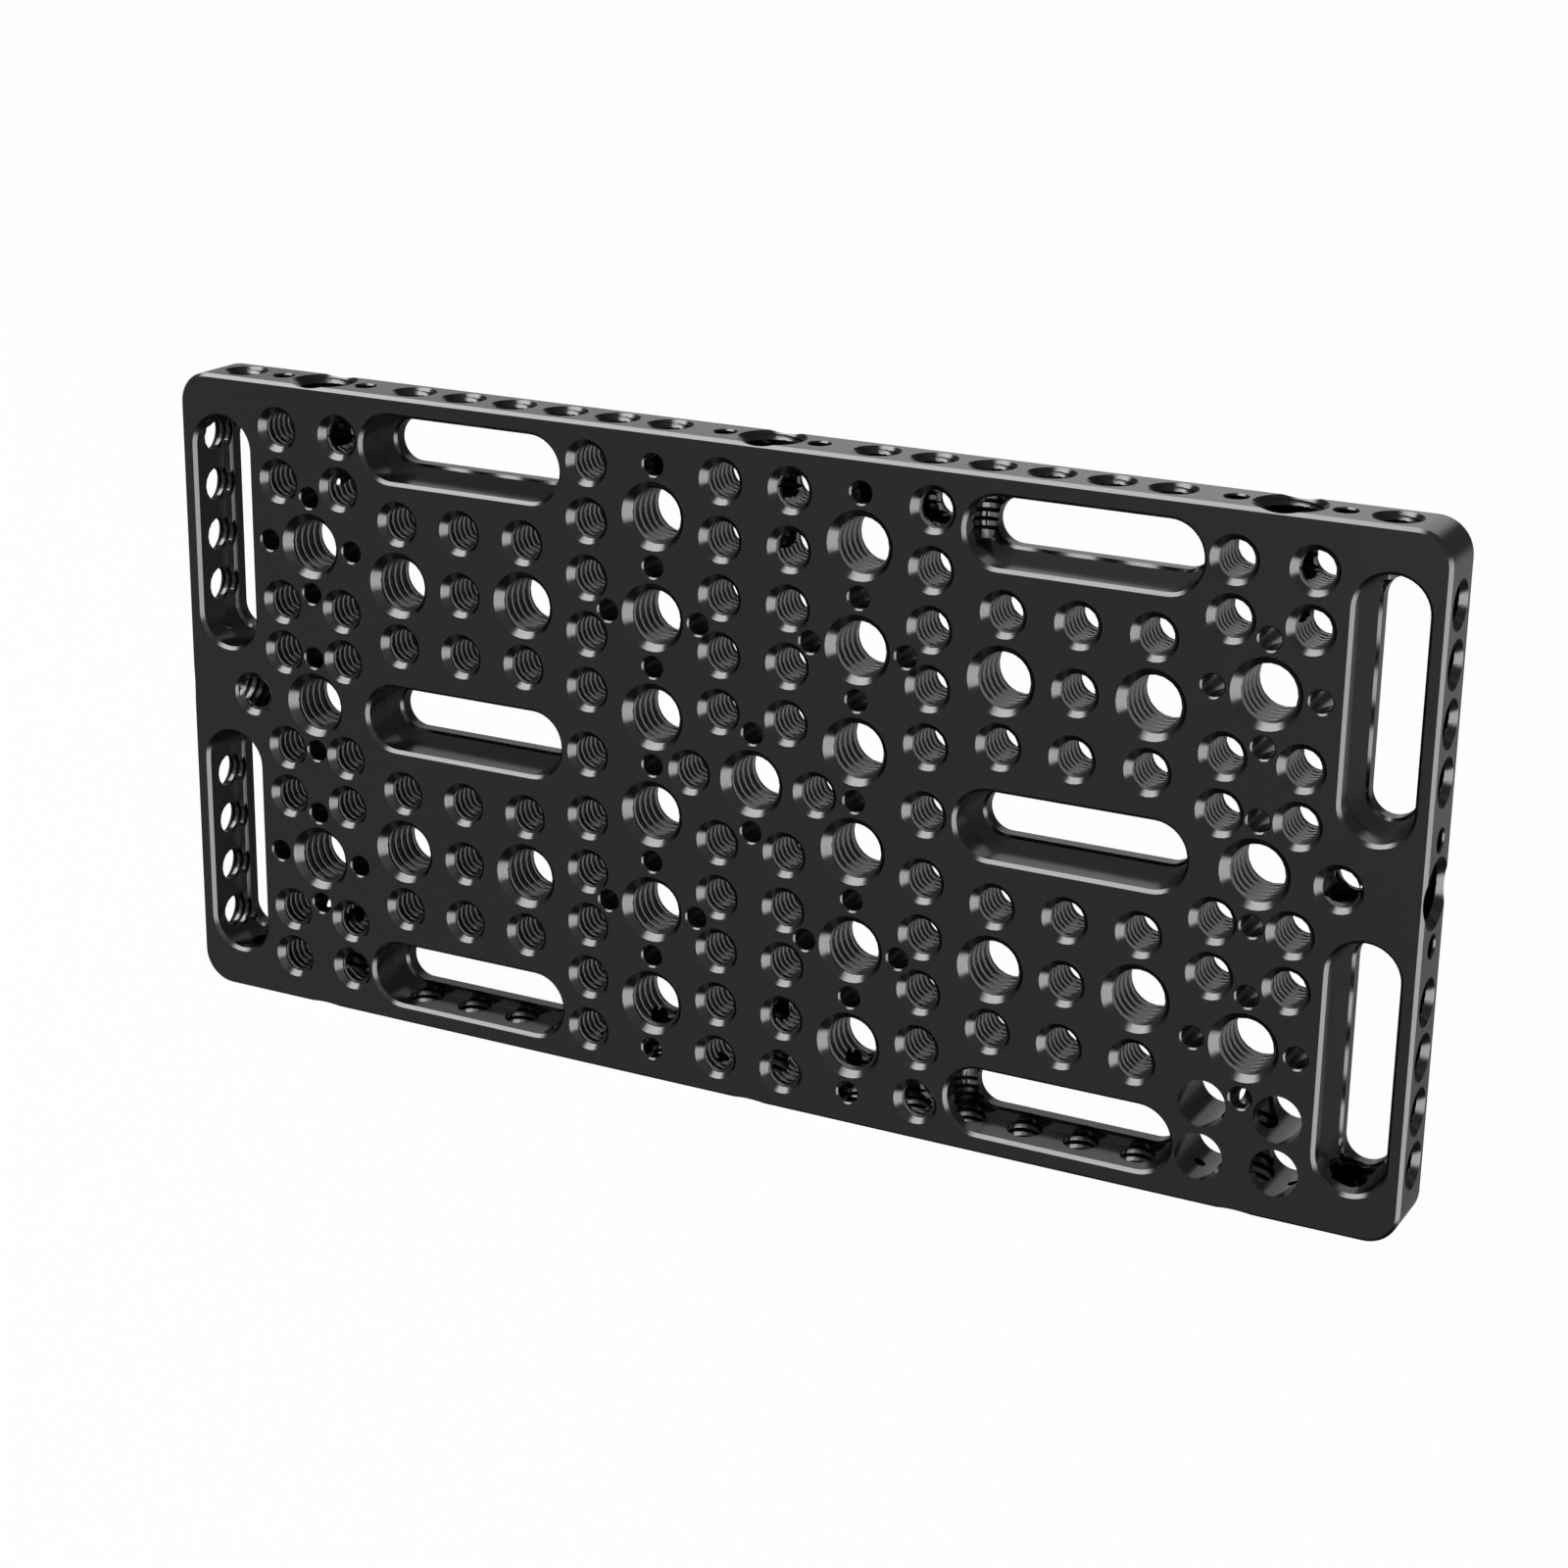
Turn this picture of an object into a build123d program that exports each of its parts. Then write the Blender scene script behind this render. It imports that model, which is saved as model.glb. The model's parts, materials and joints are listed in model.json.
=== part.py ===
"""Camera cheese plate: one aluminium plate, drilled, tapped and slotted all over.

The plate stands on a long edge. X runs along its length, Y through its thickness and Z up
its height. The front face, with the wide side of the slots, looks along -Y, and the bottom
edge lies in z = 0. Everything is cut from one slab:

- a border of edge holes on all four sides, in the middle of the thickness
- ten stepped slots, wide in front to take a screw's head and narrow behind to hold it
- two columns of large holes near the middle, each with small holes on both sides
- four blocks of nine holes between the level slots
- an upright row of clusters near each end, a large hole with small ones around it

The left half mirrors the right one, and the lower half the upper one. Only the four holes
in one lower corner differ: they are plain, with no countersink and no thread.
"""

import os
from math import isclose, radians, tan

from build123d import *

# The slab, in millimetres
plate_length = 200.0
plate_height = 100.0
plate_thickness = 9.8
corner_radius = 5.0
edge_chamfer = 0.5

# The pattern is laid out in even steps, each one millimetre on this plate. Its places and
# the lengths of its slots and edge holes spread with the slab, and its bores stay standard.
steps_along = 200
steps_up = 100
step_x = plate_length / steps_along
step_z = plate_height / steps_up

# Tapped 1/4-20 hole: bore at the thread's crests and mouth of its countersink
quarter_bore = 5.11
quarter_mouth = 7.0

# Tapped 3/8-16 hole
three_eighth_bore = 7.94
three_eighth_mouth = 10.2

# Locating pin hole, at this distance from the axis of a 3/8-16 hole
pin_bore = 3.2
pin_mouth = 3.66
pin_offset = 7.5

# Plain hole, the same size from face to face
plain_bore = 7.0

# Blind holes in the edges: steps to the end of the full bore, and the drill's point
quarter_edge_steps = 10.8
three_eighth_edge_steps = 15.0
pin_edge_steps = 3.7
drill_point_angle = 118.0

# Stepped slots: the wide part takes a screw's head, the narrow part its shank
slot_width = 10.0
slot_shank_width = 6.8
slot_lip = 2.8
slot_step_chamfer = 0.4
slot_chamfer = 0.5
level_slot_length = 34.4 * step_x
upright_slot_length = 36.5 * step_z

# Level slots and the blocks of nine holes between them
slot_field_x = 49.5 * step_x
level_slot_z = 42.0 * step_z
block_z = 21.25 * step_z
block_pitch_x = 11.0 * step_x
block_pitch_z = 9.5 * step_z

# Columns of large holes near the middle, with a column of small holes on each side
column_x = 16.5 * step_x
column_pitch = 15.0 * step_z
side_column_offset = 11.0 * step_x
side_hole_first_z = 10.0 * step_z
side_hole_pitch = 8.5 * step_z
side_hole_count = 5
centre_side_x = 10.25 * step_x

# Clusters near each end
cluster_x = 76.5 * step_x
cluster_z = 25.25 * step_z
cluster_half_width = 5.5 * step_x
cluster_near_z = 9.5 * step_z
cluster_far_z = 17.5 * step_z
end_hole_x = 88.25 * step_x
upright_slot_x = 92.5 * step_x

# Edge holes: a row runs from each pin hole of one large hole to that of the next
long_edge_row_start = 16.5 * step_x
long_edge_row_pitch = 8.75 * step_x
long_edge_row_count = 6
long_edge_end_x = 91.0 * step_x
short_edge_row_start = 15.5 * step_z
short_edge_row_pitch = 8.0 * step_z
short_edge_row_count = 4

# Cutting tools stand this far out of the face that they enter
tool_clearance = 1.0

# Two heights closer than this are one
same_height = 0.01


def both_signs(*values):
    """Each value with both its signs, and zero once."""
    return [sign * value for value in values for sign in ((1, -1) if value else (1,))]


def grid(xs, zs):
    """Every pair of an x and a z."""
    return [(x, z) for x in xs for z in zs]


def row(first, pitch, count):
    """Evenly spaced places, from the first one outwards."""
    return [first + pitch * index for index in range(count)]


def inner_rims(faces):
    """The edges of every hole in the faces."""
    return [edge for face in faces for wire in face.inner_wires() for edge in wire.edges()]


def through_tool(bore, mouth):
    """A through hole's tool, turned about Z: countersunk at 90 degrees on both faces."""
    sink = (mouth - bore) / 2
    reach = mouth / 2 + tool_clearance
    bottom = -plate_thickness
    with BuildPart() as tool:
        with BuildSketch(Plane.XZ):
            with BuildLine():
                Polyline(
                    (0, tool_clearance),
                    (reach, tool_clearance),
                    (bore / 2, -sink),
                    (bore / 2, bottom + sink),
                    (reach, bottom - tool_clearance),
                    (0, bottom - tool_clearance),
                    close=True,
                )
            make_face()
        revolve(axis=Axis.Z)
    return tool.part


def blind_tool(bore, mouth, depth):
    """A blind hole's tool, turned about Z: countersunk at its mouth, with a drill's point."""
    sink = (mouth - bore) / 2
    reach = mouth / 2 + tool_clearance
    point = bore / 2 / tan(radians(drill_point_angle / 2))
    with BuildPart() as tool:
        with BuildSketch(Plane.XZ):
            with BuildLine():
                Polyline(
                    (0, tool_clearance),
                    (reach, tool_clearance),
                    (bore / 2, -sink),
                    (bore / 2, -depth),
                    (0, -depth - point),
                    close=True,
                )
            make_face()
        revolve(axis=Axis.Z)
    return tool.part


# Planes of the front face and the four edges, each with its local x along the face
middle = plate_height / 2
half_length = plate_length / 2
front = Plane((0, -plate_thickness / 2, middle), x_dir=(1, 0, 0), z_dir=(0, -1, 0))
top_edge = Plane((0, 0, plate_height), x_dir=(1, 0, 0), z_dir=(0, 0, 1))
bottom_edge = Plane((0, 0, 0), x_dir=(1, 0, 0), z_dir=(0, 0, -1))
right_edge = Plane((half_length, 0, middle), x_dir=(0, 0, 1), z_dir=(1, 0, 0))
left_edge = Plane((-half_length, 0, middle), x_dir=(0, 0, 1), z_dir=(-1, 0, 0))

# Places of the large holes, as x and z from the middle of the front face
column_zs = both_signs(*row(column_pitch / 2, column_pitch, 3))
column_holes = grid(both_signs(column_x), column_zs)
block_side_xs = [slot_field_x - block_pitch_x, slot_field_x + block_pitch_x]
block_large_holes = grid(both_signs(*block_side_xs), both_signs(block_z))
cluster_holes = grid(both_signs(cluster_x), both_signs(0, cluster_z))
three_eighth_places = column_holes + block_large_holes + cluster_holes + [(0, 0)]

# Places of the small tapped holes
side_zs = both_signs(*row(side_hole_first_z, side_hole_pitch, side_hole_count))
inner_side_holes = grid(both_signs(column_x - side_column_offset), side_zs)
outer_side_holes = grid(both_signs(column_x + side_column_offset), side_zs + [0])
block_row_zs = [block_z - block_pitch_z, block_z + block_pitch_z]
block_row_xs = block_side_xs + [slot_field_x]
block_small_holes = grid(both_signs(*block_row_xs), both_signs(*block_row_zs))
block_middle_holes = grid(both_signs(slot_field_x), both_signs(block_z))
cluster_steps = both_signs(cluster_near_z, cluster_far_z)
cluster_xs = [cluster_x - cluster_half_width, cluster_x + cluster_half_width]
cluster_small_zs = both_signs(*[cluster_z + step for step in cluster_steps])
cluster_small_holes = grid(both_signs(*cluster_xs), cluster_small_zs)
single_holes = grid(both_signs(centre_side_x, end_hole_x), [0])
plain_places = [(x, z) for x, z in cluster_small_holes if x > 0 and z < -cluster_z]
quarter_places = (
    inner_side_holes
    + outer_side_holes
    + block_small_holes
    + block_middle_holes
    + [place for place in cluster_small_holes if place not in plain_places]
    + single_holes
)

# Places of the pin holes: between, above, below and beside the large holes
column_pin_zs = both_signs(0, *row(column_pitch, column_pitch, 3))
column_pins = grid(both_signs(column_x), column_pin_zs)
column_side_pin_xs = [column_x - pin_offset, column_x + pin_offset]
column_side_pins = grid(both_signs(*column_side_pin_xs), both_signs(column_pitch * 1.5))
centre_pins = grid([0], both_signs(pin_offset))
cluster_pin_zs = [pin_offset, cluster_z - pin_offset, cluster_z + pin_offset]
cluster_pins = grid(both_signs(cluster_x), both_signs(*cluster_pin_zs))
cluster_side_xs = [cluster_x - pin_offset, cluster_x + pin_offset]
cluster_side_pins = grid(both_signs(*cluster_side_xs), both_signs(cluster_z))
pin_places = column_pins + column_side_pins + centre_pins + cluster_pins + cluster_side_pins

# Places along the long edges and along the short ones
long_row = row(long_edge_row_start, long_edge_row_pitch, long_edge_row_count)
long_quarter_places = grid(both_signs(*long_row, long_edge_end_x), [0])
long_three_eighth_places = grid(both_signs(0, cluster_x), [0])
long_pin_xs = [pin_offset, cluster_x - pin_offset, cluster_x + pin_offset]
long_pin_places = grid(both_signs(*long_pin_xs), [0])
short_row = row(short_edge_row_start, short_edge_row_pitch, short_edge_row_count)
short_quarter_places = grid(both_signs(*short_row), [0])
short_three_eighth_places = [(0, 0)]
short_pin_places = grid(both_signs(pin_offset), [0])

# Places of the slots
level_slot_places = grid(both_signs(slot_field_x), both_signs(0, level_slot_z))
upright_slot_places = grid(both_signs(upright_slot_x), both_signs(cluster_z))

# Tools of the holes through the plate
quarter_tool = through_tool(quarter_bore, quarter_mouth)
three_eighth_tool = through_tool(three_eighth_bore, three_eighth_mouth)
pin_tool = through_tool(pin_bore, pin_mouth)


def edge_holes(inward, quarter_row, three_eighth_row, pin_row):
    """Tool and places of each kind of hole in an edge, with its depth in steps inwards."""
    quarter_depth = quarter_edge_steps * inward
    three_eighth_depth = three_eighth_edge_steps * inward
    pin_depth = pin_edge_steps * inward
    return [
        (blind_tool(quarter_bore, quarter_mouth, quarter_depth), quarter_row),
        (blind_tool(three_eighth_bore, three_eighth_mouth, three_eighth_depth), three_eighth_row),
        (blind_tool(pin_bore, pin_mouth, pin_depth), pin_row),
    ]


long_edge_holes = edge_holes(
    step_z, long_quarter_places, long_three_eighth_places, long_pin_places
)
short_edge_holes = edge_holes(
    step_x, short_quarter_places, short_three_eighth_places, short_pin_places
)
edges = [
    (top_edge, long_edge_holes),
    (bottom_edge, long_edge_holes),
    (right_edge, short_edge_holes),
    (left_edge, short_edge_holes),
]

with BuildPart() as plate:
    with BuildSketch(front):
        RectangleRounded(plate_length, plate_height, corner_radius)
    extrude(amount=-plate_thickness)

    # Wide part of the slots, down to the step
    with BuildSketch(front):
        with Locations(*level_slot_places):
            SlotOverall(level_slot_length, slot_width)
        with Locations(*upright_slot_places):
            SlotOverall(upright_slot_length, slot_width, rotation=90)
    extrude(amount=slot_lip - plate_thickness, mode=Mode.SUBTRACT)

    # Narrow part of the slots, through to the back
    step = (slot_width - slot_shank_width) / 2
    with BuildSketch(front):
        with Locations(*level_slot_places):
            SlotOverall(level_slot_length - 2 * step, slot_shank_width)
        with Locations(*upright_slot_places):
            SlotOverall(upright_slot_length - 2 * step, slot_shank_width, rotation=90)
    extrude(amount=-plate_thickness, mode=Mode.SUBTRACT)

    # Chamfers of the outline, of the slots' mouths and of the step inside them
    faces_across = plate.faces().filter_by(Axis.Y)
    front_face = faces_across.sort_by(Axis.Y)[0]
    back_face = faces_across.sort_by(Axis.Y)[-1]
    step_y = plate_thickness / 2 - slot_lip
    step_faces = [
        face for face in faces_across if isclose(face.center().Y, step_y, abs_tol=same_height)
    ]
    outlines = front_face.outer_wire().edges() + back_face.outer_wire().edges()
    slot_rims = inner_rims([front_face, back_face])
    step_rims = inner_rims(step_faces)
    chamfer(outlines, edge_chamfer)
    chamfer(slot_rims, slot_chamfer)
    chamfer(step_rims, slot_step_chamfer)

    # Holes through the plate
    with Locations(front):
        with Locations(*quarter_places):
            add(quarter_tool, mode=Mode.SUBTRACT)
        with Locations(*three_eighth_places):
            add(three_eighth_tool, mode=Mode.SUBTRACT)
        with Locations(*pin_places):
            add(pin_tool, mode=Mode.SUBTRACT)
        with Locations(*plain_places):
            Hole(plain_bore / 2)

    # Blind holes in the edges
    for edge, holes in edges:
        for tool, places in holes:
            with Locations(edge):
                with Locations(*places):
                    add(tool, mode=Mode.SUBTRACT)

plate.part.label = "plate"
os.makedirs("parts", exist_ok=True)
export_step(plate.part, "parts/plate.step")
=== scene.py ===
"""Looks of the camera cheese plate: one black anodised plate, with its real threads.

Everything is in metres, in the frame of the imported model: X along the plate, Y from the front
face to the back, Z up from the bottom edge. The places of the holes and slots come from the
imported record's mounts, and the threads, which the solid leaves plain, are cut here.
"""

import json
from math import pi, radians

import bmesh
import bpy
import numpy as np
from mathutils import Euler, Matrix, Vector


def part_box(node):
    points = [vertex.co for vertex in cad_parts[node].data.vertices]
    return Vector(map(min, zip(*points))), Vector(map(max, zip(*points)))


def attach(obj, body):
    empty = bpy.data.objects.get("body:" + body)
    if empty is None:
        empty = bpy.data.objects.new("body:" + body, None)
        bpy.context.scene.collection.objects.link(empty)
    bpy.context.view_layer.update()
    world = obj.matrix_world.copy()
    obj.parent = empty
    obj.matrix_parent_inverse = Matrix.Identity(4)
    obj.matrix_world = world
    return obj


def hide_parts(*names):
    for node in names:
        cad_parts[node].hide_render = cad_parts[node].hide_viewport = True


MM = 0.001

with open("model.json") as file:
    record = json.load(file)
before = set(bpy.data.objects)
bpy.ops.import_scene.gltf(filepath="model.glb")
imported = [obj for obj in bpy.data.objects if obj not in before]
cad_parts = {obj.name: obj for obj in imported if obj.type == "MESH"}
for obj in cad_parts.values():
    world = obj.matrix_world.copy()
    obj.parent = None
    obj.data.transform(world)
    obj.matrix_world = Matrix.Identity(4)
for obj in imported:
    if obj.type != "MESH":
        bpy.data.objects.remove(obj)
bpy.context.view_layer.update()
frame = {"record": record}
record = frame["record"]
mounts = {mount["name"]: mount for mount in record["mounts"]}

low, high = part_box("plate")
length, thickness, height = high.x - low.x, high.y - low.y, high.z - low.z
middle_z = (low.z + high.z) / 2

# Outline of the slab
corner_radius = 5.0 * MM
corner_facets = 10
edge_chamfer = 0.5 * MM

# Threads, in millimetres: radius at the crests and at the bottom of the groove, pitch, radius of
# the countersink's mouth, and facets a turn of the thread, the countersink and the drill
quarter = dict(
    crest=2.555, groove=3.175, pitch=1.27, mouth=3.5, facets=14, sink_facets=28, drill_facets=26
)
three_eighth = dict(
    crest=3.97, groove=4.7625, pitch=1.5875, mouth=5.1, facets=20, sink_facets=36, drill_facets=34
)

# Where the rows of a thread lie in its pitch: both edges of its crest, and its groove
thread_row_shares = (0.0, 0.5, 0.75)

# Part of a turn that each face's threads are turned by
front_turn = 0.0
top_turn = 0.14
side_turn = -0.25

# Pin holes and plain holes
pin_radius = 1.6 * MM
pin_mouth = 1.83 * MM
pin_facets = 20
plain_radius = 3.5 * MM
plain_facets = 36

# Edge holes: least length of the thread, and full bore, both from the edge
quarter_thread_depth = 8.8 * MM
quarter_bore_depth = 10.8 * MM
three_eighth_thread_depth = 11.0 * MM
three_eighth_bore_depth = 15.0 * MM
pin_bore_depth = 3.7 * MM
drill_half_angle = radians(59)

# Slots: wide part in front, narrow part behind the step
slot_half_width = 5.0 * MM
shank_half_width = 3.4 * MM
slot_step_y = 2.1 * MM
slot_chamfer = 0.5 * MM
step_chamfer = 0.4 * MM
slot_end_facets = 20
level_slot_half_run = 12.2 * MM
upright_slot_half_run = 13.25 * MM

# Cutting tools stand this far out of the slab, and their points are this blunt
clearance = 1.0 * MM
blunt_radius = 0.02 * MM

# Corners this close are one, and edges flatter than this are shaded smooth
same_place = 0.001 * MM
smooth_angle = radians(28)

# Finish of the plate: its dye, its gloss, which varies in soft clouds, and its fine grain
dye = (0.004, 0.004, 0.0042, 1)
oxide_ior = 1.65
least_roughness = 0.15
roughness_spread = 0.06
clouds_a_metre = 60.0
grains_a_metre = 9000.0
grain_height = 0.02 * MM
grain_strength = 0.02

# Directions of the two soft lights, and how far the lamps stand from the plate, in metres
upper_direction = Vector((-0.46, -0.27, 0.84)).normalized()
right_direction = Vector((0.87, -0.38, -0.31)).normalized()
lamp_distance = 1.5

# What the plate reflects. Each fade has the start and the end of a stretch of the direction's
# part rightward, across or upward, or of its cosine with a light's, and the value at both
front_across = (-0.5, 0.5, 0.34, 0.1)
fill_across = (-0.8, -0.6, 1.6, 0.0)
fill_right_and_up = (-0.45, -0.1, 0.0, 1.0)
backdrop_across = (0.62, 0.95, 0.0, 0.75)
backdrop_rightward = (0.0, 0.15, 1.0, 0.0)
backdrop_upward = (-0.05, 0.1, 0.0, 1.0)
ground_across = (0.8, 0.95, 0.0, 0.3)
ground_upward = (-0.15, 0.0, 1.0, 0.0)
rear_across = (0.1, 0.4, 0.0, 0.25)
rear_rightward = (0.6, 0.75, 0.0, 1.0)
upper_light = (0.87, 0.965, 0.0, 7.2)
right_light = (0.86, 0.95, 0.0, 5.3)
dark_below = (-0.85, -0.6, 0.05, 1.0)

# Even light of the room on anything matt, and how white the camera sees the floor
matt_light = 0.15
floor_white_share = 0.98
floor_half_side = 3.0


def mesh_object(name, points, faces):
    """An object at the origin from an array of points and a list of faces."""
    mesh = bpy.data.meshes.new(name)
    mesh.from_pydata(np.asarray(points).tolist(), [], faces)
    mesh.validate()
    piece = bpy.data.objects.new(name, mesh)
    bpy.context.scene.collection.objects.link(piece)
    return piece


def tube_faces(rings, around):
    """Quads between neighbouring rings, and one face at each end, pointing outwards for rings
    that turn anticlockwise and rise."""
    ring, step = np.meshgrid(np.arange(rings - 1), np.arange(around), indexing="ij")
    following = (step + 1) % around
    quads = np.stack(
        [
            ring * around + step,
            ring * around + following,
            (ring + 1) * around + following,
            (ring + 1) * around + step,
        ],
        axis=-1,
    ).reshape(-1, 4)
    first = list(range(around))[::-1]
    last = list(range((rings - 1) * around, rings * around))
    return quads.tolist() + [first, last]


def turned(profile, facets):
    """A profile of radius and height turned about Z: each point becomes a ring of facets."""
    radius, rise = np.asarray(profile, float).T
    angle = np.arange(facets) * 2 * pi / facets
    points = np.stack(
        [
            radius[:, None] * np.cos(angle),
            radius[:, None] * np.sin(angle),
            np.broadcast_to(rise[:, None], (len(radius), facets)),
        ],
        axis=-1,
    ).reshape(-1, 3)
    return points, tube_faces(len(radius), facets)


def screw(crest, groove, pitch, facets, reach):
    """A threaded rod about Z, from z = 0 up. Over each pitch its radius goes crest, crest, groove
    in three rows, the first two as far apart as the flat crest, and each row climbs one pitch a
    turn, so the last column meets the first one three rows up."""
    rows = 3 * int(np.ceil(reach / pitch) + 1) + 1
    row, column = np.meshgrid(np.arange(rows), np.arange(facets), indexing="ij")
    angle = column * 2 * pi / facets
    radius = np.where(row % 3 == 2, groove, crest)
    share = np.array(thread_row_shares)[row % 3]
    rise = pitch * (row // 3 + share + column / facets - 1)
    points = np.stack([radius * np.cos(angle), radius * np.sin(angle), rise], axis=-1)
    index = row * facets + column
    inner = np.stack(
        [index[:-1, :-1], index[:-1, 1:], index[1:, 1:], index[1:, :-1]], axis=-1
    ).reshape(-1, 4)
    seam = np.stack(
        [index[:-4, -1], index[3:-1, 0], index[4:, 0], index[1:-3, -1]], axis=-1
    )
    start = [*index[0], index[3, 0], index[2, 0], index[1, 0]]
    end = [*index[-1], index[-2, -1], index[-3, -1], index[-4, -1]]
    faces = inner.tolist() + seam.tolist() + [[int(i) for i in start[::-1]], [int(i) for i in end]]
    return points.reshape(-1, 3), faces


def stadium(half_run, radius, facets, upright):
    """Outline of a slot: two half circles, one at each end of the run."""
    angle = np.linspace(-pi / 2, pi / 2, facets + 1)
    right = np.stack([half_run + radius * np.cos(angle), radius * np.sin(angle)], axis=-1)
    outline = np.concatenate([right, -right])
    if upright:
        outline = np.stack([-outline[:, 1], outline[:, 0]], axis=-1)
    return outline


def rounded(half_x, half_z, radius, facets):
    """Outline of a rectangle with round corners."""
    angle = np.linspace(0, pi / 2, facets + 1)
    corner = radius * np.stack([np.cos(angle), np.sin(angle)], axis=-1)
    centre = np.array([half_x - radius, half_z - radius])
    swapped = np.stack([-corner[:, 1], corner[:, 0]], axis=-1)
    corners = [
        corner + centre,
        swapped + centre * (-1, 1),
        -corner - centre,
        -swapped - centre * (-1, 1),
    ]
    return np.concatenate(corners)


def stacked(outlines, depths):
    """Outlines in x and z carried along Y, one at each depth, closed at both ends."""
    rings = [
        np.stack([outline[:, 0], np.full(len(outline), depth), outline[:, 1]], axis=-1)
        for outline, depth in zip(outlines[::-1], depths[::-1])
    ]
    return np.concatenate(rings), tube_faces(len(rings), len(outlines[0]))


def joined(name, solids):
    """One object from many separate solids."""
    points, faces, offset = [], [], 0
    for solid_points, solid_faces in solids:
        points.append(solid_points)
        faces += [[corner + offset for corner in face] for face in solid_faces]
        offset += len(solid_points)
    return mesh_object(name, np.concatenate(points), faces)


def facing(points, place, outward):
    """Points of a tool about Z, moved so that its z = 0 lies at the place and its +Z points
    outward, with one of its sides to the front."""
    outward = np.asarray(outward, float)
    side = np.array([0, 0, 1.0] if outward[1] else [0, 1.0, 0])
    third = np.cross(outward, side)
    return np.asarray(points) @ np.stack([side, third, outward]) + np.asarray(place)


def cut(piece, tools):
    """Cuts the tools out of the piece and deletes them."""
    modifier = piece.modifiers.new("cut", "BOOLEAN")
    modifier.operation = "DIFFERENCE"
    modifier.solver = "MANIFOLD"
    modifier.object = tools
    result = bpy.data.meshes.new_from_object(
        piece.evaluated_get(bpy.context.evaluated_depsgraph_get())
    )
    piece.modifiers.clear()
    piece.data = result
    bpy.data.objects.remove(tools)


def islands(mesh):
    """The corners of each connected piece of a mesh, the largest piece first."""
    left = set(mesh.verts)
    found = []
    while left:
        island = [left.pop()]
        for corner in island:
            for edge in corner.link_edges:
                other = edge.other_vert(corner)
                if other in left:
                    left.discard(other)
                    island.append(other)
        found.append(island)
    return sorted(found, key=len, reverse=True)


def clean(piece):
    """Triangulates, merges the corners that lie together, and drops the chips that crossing
    threads cut loose and the faces that then lie on each other."""
    mesh = bmesh.new()
    mesh.from_mesh(piece.data)
    bmesh.ops.triangulate(mesh, faces=mesh.faces)
    bmesh.ops.remove_doubles(mesh, verts=mesh.verts, dist=same_place)
    bmesh.ops.dissolve_degenerate(mesh, edges=mesh.edges, dist=same_place)
    chips = [corner for island in islands(mesh)[1:] for corner in island]
    bmesh.ops.delete(mesh, geom=chips, context="VERTS")
    mesh.to_mesh(piece.data)
    mesh.free()
    piece.data.validate()


def places_of(name):
    """Centres of a pattern's holes: its spacings run along the two row axes across its axis."""
    mount = mounts[name]
    centre = np.array(mount["pos_m"])
    across = [index for index in range(3) if not round(mount["axis"][index])]
    places = [centre]
    for key, index in zip(("spacing_x_mm", "spacing_y_mm"), across):
        if key in mount["dims"]:
            offset = np.zeros(3)
            offset[index] = mount["dims"][key] * MM / 2
            places = [place + sign * offset for place in places for sign in (1, -1)]
    return places


def through_places(prefix):
    """Places on the front face of every hole whose mounts' names start with the prefix."""
    found = []
    for name in mounts:
        if name.startswith(prefix):
            found += places_of(name)
    return [np.array([place[0], low.y, place[2]]) for place in found]


def edge_places(kind):
    """Place on its edge, and outward axis, of every edge hole of a kind. Patterns may share a
    hole, so each place counts once."""
    found = {}
    for name, mount in mounts.items():
        if "_edge_" in name and kind in name:
            axis = np.array(mount["axis"], float)
            for place in places_of(name):
                index = int(np.argmax(np.abs(axis)))
                place[index] = (high if axis[index] > 0 else low)[index]
                found[tuple(place.round(decimals=5))] = (place, axis)
    return list(found.values())


def thread_tool(thread, place, outward, depth, turn):
    """The screw of one hole, from at least a depth out of its mouth. It is a whole number of
    pitches deep and a part of a turn more, which sets where its groove crosses the countersink."""
    pitch = thread["pitch"] * MM
    reach = pitch * (np.ceil(depth / pitch) + turn)
    points, faces = screw(
        thread["crest"] * MM, thread["groove"] * MM, pitch, thread["facets"], reach + clearance
    )
    return facing(points - np.array([0, 0, reach]), place, outward), faces


def turned_tool(profile, facets, place, outward):
    """A turned tool of one hole."""
    points, faces = turned(profile, facets)
    return facing(points, place, outward), faces


def sink_profile(mouth):
    """A 90 degree cone from its point up to its mouth, and on out of the face."""
    return [(blunt_radius, blunt_radius - mouth), (mouth + clearance, clearance)]


def drill_profile(radius, start, depth):
    """A drill's end: its point, and its full bore up to the start."""
    point = radius / np.tan(drill_half_angle)
    return [(blunt_radius, -depth - point), (radius, -depth), (radius, -start)]


frontward = (0, -1, 0)
backward = (0, 1, 0)
quarter_places = through_places("quarter_")
three_eighth_places = through_places("three_eighth_")
pin_places = through_places("pin_")
plain_places = through_places("plain_")
edge_quarters = edge_places("_quarter_")
edge_three_eighths = edge_places("_three_eighth")
edge_pins = edge_places("_pin")
level_slots = places_of("level_slots") + places_of("level_slots_middle")
upright_slots = places_of("upright_slots_left") + places_of("upright_slots_right")


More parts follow.
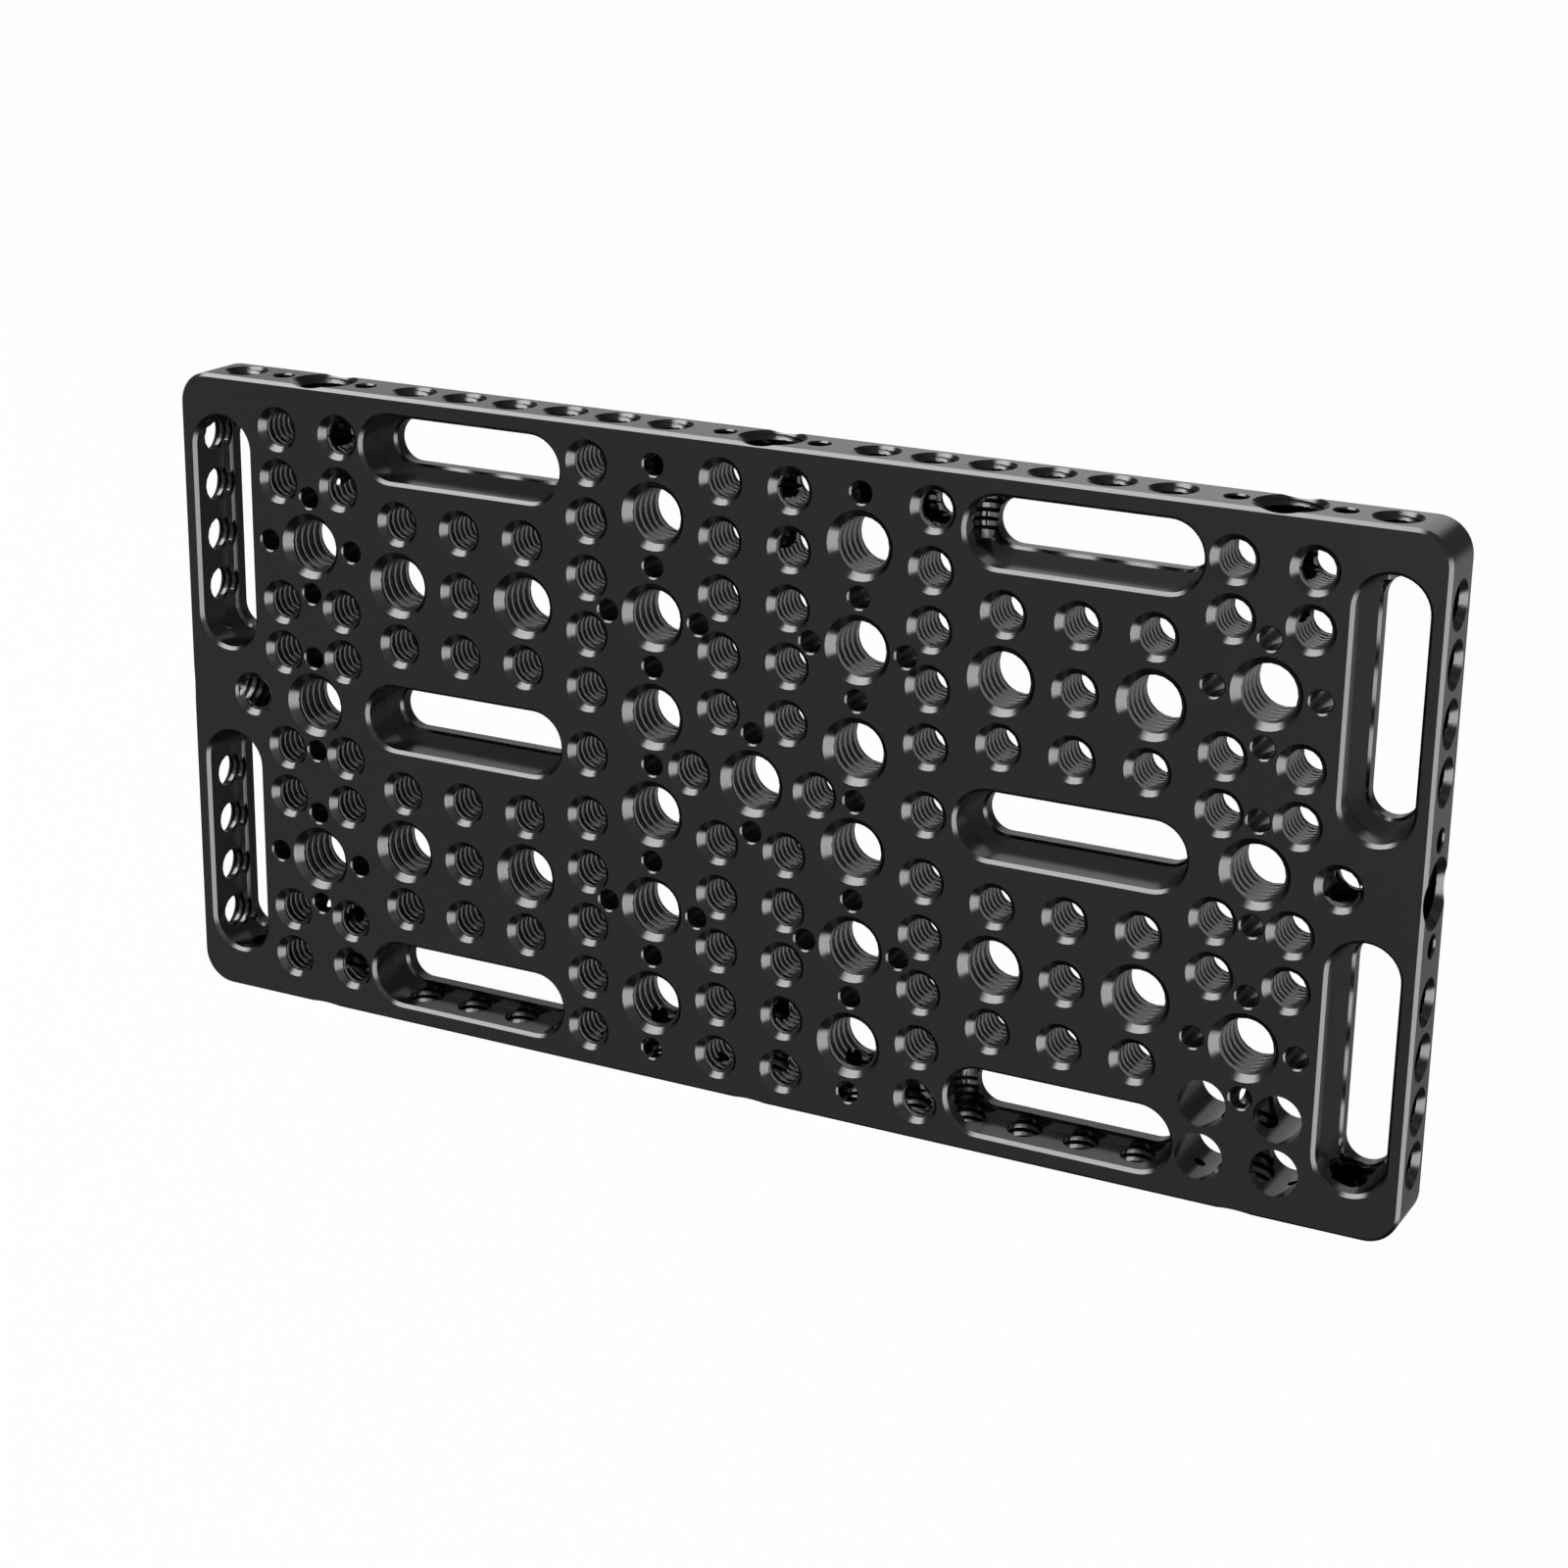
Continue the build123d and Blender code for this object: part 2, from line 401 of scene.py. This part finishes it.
def slot_tool(place, half_run, upright):
    """A slot's tool: from the front, its chamfer, wide part, step, narrow part and chamfer."""
    radii = [
        (slot_half_width + slot_chamfer + clearance, low.y - clearance),
        (slot_half_width, low.y + slot_chamfer),
        (slot_half_width, slot_step_y),
        (shank_half_width + step_chamfer, slot_step_y),
        (shank_half_width, slot_step_y + step_chamfer),
        (shank_half_width, high.y - slot_chamfer),
        (shank_half_width + slot_chamfer + clearance, high.y + clearance),
    ]
    outlines = [stadium(half_run, radius, slot_end_facets, upright) for radius, _ in radii]
    points, faces = stacked(outlines, [depth for _, depth in radii])
    return points + np.array([place[0], 0, place[2]]), faces


def countersinks(through, edge, mouth, facets):
    """The countersinks of a family of holes, on both faces and on the edges."""
    profile = sink_profile(mouth)
    tools = []
    for place in through:
        tools.append(turned_tool(profile, facets, place, frontward))
        tools.append(turned_tool(profile, facets, place + (0, thickness, 0), backward))
    for place, axis in edge:
        tools.append(turned_tool(profile, facets, place, axis))
    return tools


def plate_with_threads():
    """The slab, cut family by family, so that no two tools of one cut meet."""
    half_x, half_z = length / 2, height / 2
    inner_radius = corner_radius - edge_chamfer
    inner = rounded(half_x - edge_chamfer, half_z - edge_chamfer, inner_radius, corner_facets)
    outer = rounded(half_x, half_z, corner_radius, corner_facets)
    depths = [low.y, low.y + edge_chamfer, high.y - edge_chamfer, high.y]
    points, faces = stacked([inner, outer, outer, inner], depths)
    plate = mesh_object("threaded_plate", points + np.array([0, 0, middle_z]), faces)

    sinks = [slot_tool(place, level_slot_half_run, False) for place in level_slots]
    sinks += [slot_tool(place, upright_slot_half_run, True) for place in upright_slots]
    for thread, through, edge in (
        (quarter, quarter_places, edge_quarters),
        (three_eighth, three_eighth_places, edge_three_eighths),
    ):
        sinks += countersinks(through, edge, thread["mouth"] * MM, thread["sink_facets"])
    sinks += countersinks(pin_places, edge_pins, pin_mouth, pin_facets)
    cut(plate, joined("sinks", sinks))

    depth = thickness + clearance
    for thread, places in ((quarter, quarter_places), (three_eighth, three_eighth_places)):
        screws = [thread_tool(thread, place, frontward, depth, front_turn) for place in places]
        cut(plate, joined("threads", screws))
    bores = []
    for places, radius, facets in (
        (pin_places, pin_radius, pin_facets),
        (plain_places, plain_radius, plain_facets),
    ):
        profile = [(radius, -depth), (radius, clearance)]
        bores += [turned_tool(profile, facets, place, frontward) for place in places]
    cut(plate, joined("bores", bores))

    edge_threads = (
        (quarter, edge_quarters, quarter_thread_depth, quarter_bore_depth),
        (three_eighth, edge_three_eighths, three_eighth_thread_depth, three_eighth_bore_depth),
    )
    for index, turn in ((2, top_turn), (0, side_turn)):
        drills = []
        for thread, edge, thread_depth, bore_depth in edge_threads:
            holes = [(place, axis) for place, axis in edge if axis[index]]
            screws = [
                thread_tool(thread, place, axis, thread_depth, turn) for place, axis in holes
            ]
            cut(plate, joined("edge_threads", screws))
            profile = drill_profile(thread["crest"] * MM, thread_depth - clearance, bore_depth)
            drills += [
                turned_tool(profile, thread["drill_facets"], place, axis) for place, axis in holes
            ]
        profile = drill_profile(pin_radius, -clearance, pin_bore_depth)
        drills += [
            turned_tool(profile, pin_facets, place, axis)
            for place, axis in edge_pins
            if axis[index]
        ]
        cut(plate, joined("edge_drills", drills))
    clean(plate)
    return plate


plate = plate_with_threads()
plate.data.polygons.foreach_set("use_smooth", [True] * len(plate.data.polygons))
plate.data.set_sharp_from_angle(angle=smooth_angle)


class Socket:
    """A number in a shader: arithmetic on it adds the Math nodes."""

    def __init__(self, shader, output):
        self.shader = shader
        self.output = output

    def math(self, operation, left, right):
        return self.shader.node("ShaderNodeMath", {"operation": operation}, {0: left, 1: right})

    def __add__(self, other):
        return self.math("ADD", self, other)

    __radd__ = __add__

    def __sub__(self, other):
        return self.math("SUBTRACT", self, other)

    def __rsub__(self, other):
        return self.math("SUBTRACT", other, self)

    def __mul__(self, other):
        return self.math("MULTIPLY", self, other)

    __rmul__ = __mul__


class Shader:
    """The node tree of a material or a world."""

    def __init__(self, owner):
        self.owner = owner
        owner.use_nodes = True
        self.tree = owner.node_tree
        self.tree.nodes.clear()

    def node(self, kind, settings=None, inputs=None, output=0):
        """A node of a kind: its settings first, then the values or links of its sockets."""
        made = self.tree.nodes.new(kind)
        for key, value in (settings or {}).items():
            setattr(made, key, value)
        for key, value in (inputs or {}).items():
            if isinstance(value, Socket):
                self.tree.links.new(value.output, made.inputs[key])
            else:
                made.inputs[key].default_value = value
        return Socket(self, made.outputs[output]) if made.outputs else None

    def finish(self, output, surface):
        """Ends the tree in its output node and returns the material or world."""
        self.node(output, None, {"Surface": surface})
        return self.owner


def black_anodised():
    """Black anodised aluminium: a smooth dyed oxide skin with a very fine grain."""
    shader = Shader(bpy.data.materials.new("black_anodised"))
    coordinates = shader.node("ShaderNodeTexCoord", output="Object")
    grain = shader.node(
        "ShaderNodeTexNoise",
        None,
        {"Vector": coordinates, "Scale": grains_a_metre, "Detail": 2.0, "Roughness": 0.6},
    )
    cloud = shader.node(
        "ShaderNodeTexNoise",
        None,
        {"Vector": coordinates, "Scale": clouds_a_metre, "Detail": 3.0, "Roughness": 0.5},
    )
    bump = shader.node(
        "ShaderNodeBump",
        None,
        {"Strength": grain_strength, "Distance": grain_height, "Height": grain},
    )
    surface = shader.node(
        "ShaderNodeBsdfPrincipled",
        None,
        {
            "Base Color": dye,
            "Roughness": least_roughness + cloud * roughness_spread,
            "IOR": oxide_ior,
            "Normal": bump,
        },
    )
    return shader.finish("ShaderNodeOutputMaterial", surface)


plate.data.materials.clear()
plate.data.materials.append(black_anodised())
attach(plate, "root")
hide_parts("plate")


def pale_ground():
    """A pale matt floor. What the camera sees of it is mostly an even white, and the rest is lit
    and keeps the object's shadow."""
    shader = Shader(bpy.data.materials.new("pale_floor"))
    camera = shader.node("ShaderNodeLightPath", output="Is Camera Ray")
    matt = shader.node("ShaderNodeBsdfDiffuse", None, {"Color": (0.8, 0.8, 0.8, 1)})
    white = shader.node("ShaderNodeEmission", None, {"Color": (1, 1, 1, 1), "Strength": 1.0})
    surface = shader.node(
        "ShaderNodeMixShader", None, {0: camera * floor_white_share, 1: matt, 2: white}
    )
    return shader.finish("ShaderNodeOutputMaterial", surface)


def studio_world():
    """The room. The camera sees white. A reflection sees a dim room, brighter in front, with a
    pale backdrop behind, two soft lights, and black straight below. Anything matt is lit evenly."""
    shader = Shader(bpy.data.worlds.new("studio"))
    direction = shader.node("ShaderNodeTexCoord", output="Generated")
    rightward, across, upward = (
        shader.node("ShaderNodeSeparateXYZ", None, {0: direction}, output=part)
        for part in range(3)
    )
    camera = shader.node("ShaderNodeLightPath", output="Is Camera Ray")
    glossy = shader.node("ShaderNodeLightPath", output="Is Glossy Ray")
    through = shader.node("ShaderNodeLightPath", output="Is Transmission Ray")

    def fade(value, start, end, first, last):
        """A straight ramp from first to last between start and end, and level outside them."""
        return shader.node(
            "ShaderNodeMapRange", None, {0: value, 1: start, 2: end, 3: first, 4: last}
        )

    def cosine(towards):
        """Cosine of the angle between the ray and a direction: their parts' products, added."""
        return rightward * towards[0] + across * towards[1] + upward * towards[2]

    front = fade(across, *front_across)
    fill = fade(across, *fill_across) * fade(rightward + upward, *fill_right_and_up)
    backdrop = fade(across, *backdrop_across) * fade(rightward, *backdrop_rightward)
    backdrop = backdrop * fade(upward, *backdrop_upward)
    ground = fade(across, *ground_across) * fade(upward, *ground_upward)
    rear = fade(across, *rear_across) * fade(rightward, *rear_rightward)
    lights = fade(cosine(upper_direction), *upper_light)
    lights = lights + fade(cosine(right_direction), *right_light)
    room = (front + fill + backdrop + ground + rear + lights) * fade(upward, *dark_below)
    strength = camera + through + glossy * room + (1 - camera - through - glossy) * matt_light
    background = shader.node(
        "ShaderNodeBackground", None, {"Color": (1, 1, 1, 1), "Strength": strength}
    )
    return shader.finish("ShaderNodeOutputWorld", background)


floor_corners = [(x * floor_half_side, y * floor_half_side, 0) for x in (-1, 1) for y in (-1, 1)]
floor = mesh_object("floor", floor_corners, [[0, 2, 3, 1]])
floor.data.materials.append(pale_ground())
floor.visible_glossy = False
floor.visible_shadow = False
bpy.context.scene.world = studio_world()


def soft_box(name, direction, along, width, height, radiance):
    """A rectangular lamp that faces the plate's middle from a direction, with its width along
    another. What it looks like in a reflection, with soft edges, is part of the room."""
    lamp = bpy.data.lights.new(name, "AREA")
    lamp.shape = "RECTANGLE"
    lamp.size = width
    lamp.size_y = height
    lamp.energy = radiance * pi * width * height
    holder = bpy.data.objects.new(name, lamp)
    bpy.context.scene.collection.objects.link(holder)
    up = direction.cross(Vector(along)).normalized()
    holder.location = Vector((0, 0, middle_z)) + direction * lamp_distance
    holder.rotation_euler = Matrix((up.cross(direction), up, direction)).transposed().to_euler()
    holder.visible_camera = False
    holder.visible_glossy = False


soft_box(
    "upper_soft_box",
    upper_direction,
    along=(-0.88, 0.34, -0.32),
    width=1.4,
    height=0.55,
    radiance=7.0,
)
soft_box(
    "right_soft_box",
    right_direction,
    along=(0.40, 0.92, 0),
    width=0.8,
    height=1.15,
    radiance=5.2,
)

camera_data = bpy.data.cameras.new("camera")
camera_data.sensor_width = 36
camera_data.lens = 73.5666
camera_data.clip_start = 0.01
camera = bpy.data.objects.new("camera", camera_data)
bpy.context.scene.collection.objects.link(camera)
camera.location = (0.2052376, -0.3929015, 0.1968017)
camera.rotation_euler = Euler((radians(71.50857), radians(-0.85837), radians(27.54672)))
bpy.context.scene.camera = camera
bpy.context.scene.view_settings.view_transform = "Standard"
